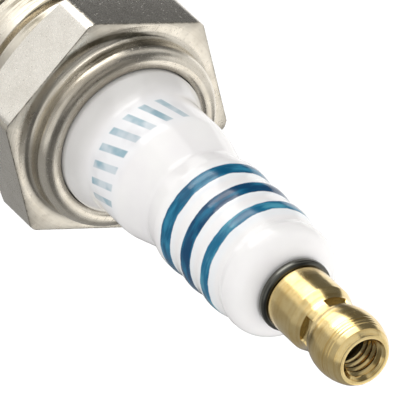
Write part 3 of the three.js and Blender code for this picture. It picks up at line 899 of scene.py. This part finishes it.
def ringed(tree, colour, place, height):
    """The three blue rings over a colour, wavy at their edges and paler where the glaze ran thin."""
    waver = times(tree, calculate(tree, "SUBTRACT", noise(tree, place, 0.7), 0.5), 0.3)
    wavy = calculate(tree, "ADD", height, waver)
    thin = between(tree, noise(tree, scaled(tree, place, (0.35, 0.35, 1.5)), 1.0), 0.42, 0.7)
    for middle, width, deep, pale in RINGS:
        bleed = times(tree, band(tree, height, middle + 0.25, width + 0.9, 0.35), 0.25)
        colour = blend_colours(tree, bleed, colour, BLEED)
        blue = blend_colours(tree, thin, deep, pale)
        colour = blend_colours(tree, band(tree, wavy, middle, width, 0.06), colour, blue)
    return colour


def printed(tree, colour, place, angle, height):
    """The row of plain bars over a colour, slightly smudged."""
    ink, patch = print_masks(tree, place, angle, height)
    colour = blend_colours(tree, times(tree, patch, 0.35), colour, PRINT_GLAZE)
    smudge = times(tree, patch, between(tree, noise(tree, place, 0.3, detail=2), 0.52, 0.7, 0.0, 0.22))
    colour = blend_colours(tree, smudge, colour, SMUDGE)
    ink_colour = blend_colours(tree, noise(tree, place, 0.8), INK, INK_PALE)
    return blend_colours(tree, times(tree, ink, 0.72), colour, ink_colour)


def glazed_ceramic():
    """White glaze with painted shade greying it towards the collar, three blue rings, a row of bars and a
    few specks.
    """
    material, tree, shader = new_material("glazed_alumina_white", 0)
    place, _, angle, height = position(tree)
    cloud = between(tree, noise(tree, place, 0.22), 0.3, 0.7)
    colour = blend_colours(tree, cloud, GLAZE, GLAZE_CLOUD)
    # Painted shade: the glaze turns greyer towards the collar, standing in for the collar's shade on the
    # neck.
    low_down = between(tree, height, NECK_SHADE_HIGH, NECK_SHADE_LOW)
    neck_shade_share = times(tree, low_down, between(tree, cloud, 0.0, 1.0, 0.52, 0.72))
    colour = blend_colours(tree, neck_shade_share, colour, NECK_SHADE_TONE)
    colour = ringed(tree, colour, place, height)
    colour = printed(tree, colour, place, angle, height)
    specks = between(tree, cell_distance(tree, place, 0.14), 0.012, 0.02, 0.8, 0.0)
    put(tree, shader.inputs["Base Color"], blend_colours(tree, specks, colour, SPECK))

    shader.inputs["IOR"].default_value = 1.5
    shader.inputs["Specular IOR Level"].default_value = 0.4
    put(tree, shader.inputs["Roughness"], between(tree, cloud, 0.0, 1.0, 0.06, 0.12))
    put(tree, shader.inputs["Normal"], bump(tree, noise(tree, place, 0.25, detail=1), 0.003))
    return material


def matt_ceramic(name, colours, grain_scale, roughness):
    """Pressed or sintered grain."""
    material, tree, shader = new_material(name, 0)
    place, _, _, _ = position(tree)
    grain = noise(tree, place, grain_scale, detail=5, roughness=0.7)
    share = between(tree, grain, 0.35, 0.65)
    put(tree, shader.inputs["Base Color"], blend_colours(tree, share, *colours))
    put(tree, shader.inputs["Roughness"], between(tree, grain, 0.0, 1.0, roughness - 0.1, roughness))
    put(tree, shader.inputs["Normal"], bump(tree, grain, 0.01))
    return material


def pale_floor():
    material, tree, shader = new_material("pale_floor", 0)
    place = tree.nodes.new("ShaderNodeTexCoord").outputs["Object"]
    tone = noise(tree, place, 3.0, detail=2)
    put(tree, shader.inputs["Base Color"], blend_colours(tree, tone, *FLOOR_TONES))
    shader.inputs["Roughness"].default_value = 0.8
    shader.inputs["Specular IOR Level"].default_value = 0.1
    return material


# ---------------------------------------------------------------- finishes
ALONG_Z = (3, 3, 0.4)
ROUND_ABOUT = (1, 1, 3)
ALL_WAYS = (1, 1, 1)


def on_flat(centre):
    """Whether a face's centre, in millimetres, lies on one of the hexagon's flats."""
    out = math.hypot(centre.x, centre.y) * math.cos(off_facet(math.atan2(centre.y, centre.x)))
    return abs(out - FLAT) < 0.01 and LAND_TOP < centre.z < HEX_TOP - 0.05


def finish_shell(shell):
    finish_with(shell, turned_nickel(), formed_nickel())
    for polygon in shell.data.polygons:
        if on_flat(polygon.center / MM):
            polygon.material_index = 1


def finish_firing_end(strap, electrode, tip, bead):
    alloy = drawn_metal("drawn_alloy", ALLOY, ALLOY_GLOSS, ALONG_Z)
    finish_with(strap, alloy)
    finish_with(electrode, alloy)
    finish_with(bead, drawn_metal("welded_alloy", WELD, WELD_GLOSS, ALL_WAYS))
    finish_with(tip, drawn_metal("drawn_iridium", IRIDIUM, IRIDIUM_GLOSS, ALONG_Z))


def finish_inner_pieces(nodes):
    """Materials for the CAD pieces that are sealed inside the plug."""
    packing = drawn_metal("bare_steel", BARE_STEEL, STEEL_GLOSS, ROUND_ABOUT)
    for node in ("seat_packing", "lower_packing_ring", "upper_packing_ring"):
        finish_with(nodes[node], packing)
    sealing = matt_ceramic("copper_glass", COPPER_GLASS, 5.0, 0.45)
    for node in ("upper_glass_seal", "lower_glass_seal"):
        finish_with(nodes[node], sealing)
    finish_with(nodes["resistor"], matt_ceramic("sintered_carbon", CARBON, 6.0, 0.8))
    finish_with(nodes["talc_fill"], matt_ceramic("packed_talc", TALC, 8.0, 0.95))
    core = drawn_metal("drawn_copper", COPPER, COPPER_GLOSS, ALONG_Z)
    finish_with(nodes["centre_electrode_core"], core)


# ---------------------------------------------------------------- studio
FLOOR_SIZE = 1.5
PLUG_MIDDLE = (0, 0, 0.02)
WARM_WHITE = (1, 0.99, 0.975, 1)

# Soft panels round the part, in degrees: azimuth from +X, width, elevation, height, softness of the edge.
# The last number is how bright the panel is, and between the panels the studio is PANEL_GAP bright.
PANELS = (
    (230, 46, -39, 80, 4, 2.6),
    (246, 80, -39, 80, 15, 1.15),
    (234, 48, -32, 18, 3, 5.5),
    (272, 134, -36, 84, 16, 0.52),
    (232, 134, -76, 30, 6, 1.7),
    (128, 46, 22, 60, 6, 0.95),
    (182, 66, 6, 26, 5, 0.75),
    (117, 50, -30, 48, 6, 1.2),
    (275, 120, 16, 44, 8, 0.88),
    (240, 120, 64, 32, 8, 0.6),
    (10, 124, -15, 90, 10, 0.36),
    (85, 60, 46, 50, 8, 0.75),
)
PANEL_GAP = 0.15


def make_floor():
    bm = bmesh.new()
    bmesh.ops.create_grid(bm, x_segments=1, y_segments=1, size=FLOOR_SIZE)
    mesh = bpy.data.meshes.new("floor")
    bm.to_mesh(mesh)
    bm.free()
    floor = bpy.data.objects.new("floor", mesh)
    floor.location.z = cad_low.z
    floor.visible_glossy = False
    bpy.context.scene.collection.objects.link(floor)
    finish_with(floor, pale_floor())


def add_light(name, spot, aim, size, power, colour=(1, 1, 1)):
    data = bpy.data.lights.new(name, "AREA")
    data.shape = "RECTANGLE"
    data.size, data.size_y = size
    data.energy = power
    data.color = colour
    light = bpy.data.objects.new(name, data)
    light.location = spot
    light.rotation_euler = (Vector(aim) - Vector(spot)).to_track_quat("-Z", "Y").to_euler()
    light.visible_camera = False
    bpy.context.scene.collection.objects.link(light)
    return light


def make_lights():
    """One small panel that the hexagon reflects, and fill lights that light but don't show in the metal."""
    add_light("hexagon_panel", (0.0, 0.085, 0.095), (0, 0, 0.011), (0.06, 0.05), 0.0065, (1, 0.97, 0.93))
    fills = (
        add_light("key", (-0.2, -0.2, 0.04), PLUG_MIDDLE, (0.15, 0.12), 0.1, (1, 0.98, 0.95)),
        add_light("floor_fill", (0.0, 0.2, 0.5), (0.0, 0.1, -0.024), (0.5, 0.5), 2.4),
        add_light("front_fill", (-0.2, -0.35, 0.35), PLUG_MIDDLE, (0.4, 0.4), 0.54),
        add_light("side_fill", (0.3, -0.2, 0.12), PLUG_MIDDLE, (0.3, 0.3), 0.36),
    )
    for light in fills:
        light.visible_glossy = False


def make_world():
    world = bpy.data.worlds.new("studio")
    bpy.context.scene.world = world
    world.use_nodes = True
    tree = world.node_tree
    split = tree.nodes.new("ShaderNodeSeparateXYZ")
    put(tree, split.inputs[0], tree.nodes.new("ShaderNodeTexCoord").outputs["Generated"])
    x, y, z = split.outputs
    around, above = calculate(tree, "ARCTAN2", y, x), calculate(tree, "ARCSINE", z)
    strength = PANEL_GAP
    for azimuth, width, elevation, height, softness, brightness in PANELS:
        off = calculate(tree, "ABSOLUTE", calculate(tree, "SUBTRACT", around, math.radians(azimuth)))
        wrapped = calculate(tree, "PINGPONG", off, math.pi)
        edge, half = math.radians(softness), math.radians(width) / 2
        across = between(tree, wrapped, half - edge, half + edge, 1.0, 0.0)
        upright = band(tree, above, math.radians(elevation), math.radians(height), edge)
        strength = calculate(tree, "MAXIMUM", strength, times(tree, across, upright, brightness))
    background = tree.nodes["Background"]
    background.inputs["Color"].default_value = WARM_WHITE
    put(tree, background.inputs["Strength"], strength)


# ---------------------------------------------------------------- the plug in its studio
bpy.context.scene.view_settings.view_transform = "Standard"
make_camera()
make_lights()
make_world()

finish_shell(make_shell())
finish_with(make_gasket(), turned_metal("folded_steel", STRIP_STEEL, STRIP_GLOSS, 0.01, 4.0))
finish_with(make_insulator(), glazed_ceramic())
finish_with(make_stud(), turned_metal("dark_plating", DARK_PLATING, PLATING_GLOSS, 0.003))
finish_with(make_nut(), turned_metal("turned_brass", BRASS, BRASS_GLOSS, 0.003, 7.0))
finish_firing_end(make_ground_electrode(), make_centre_electrode(), make_tip(), make_bead())
finish_inner_pieces(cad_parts)
make_floor()
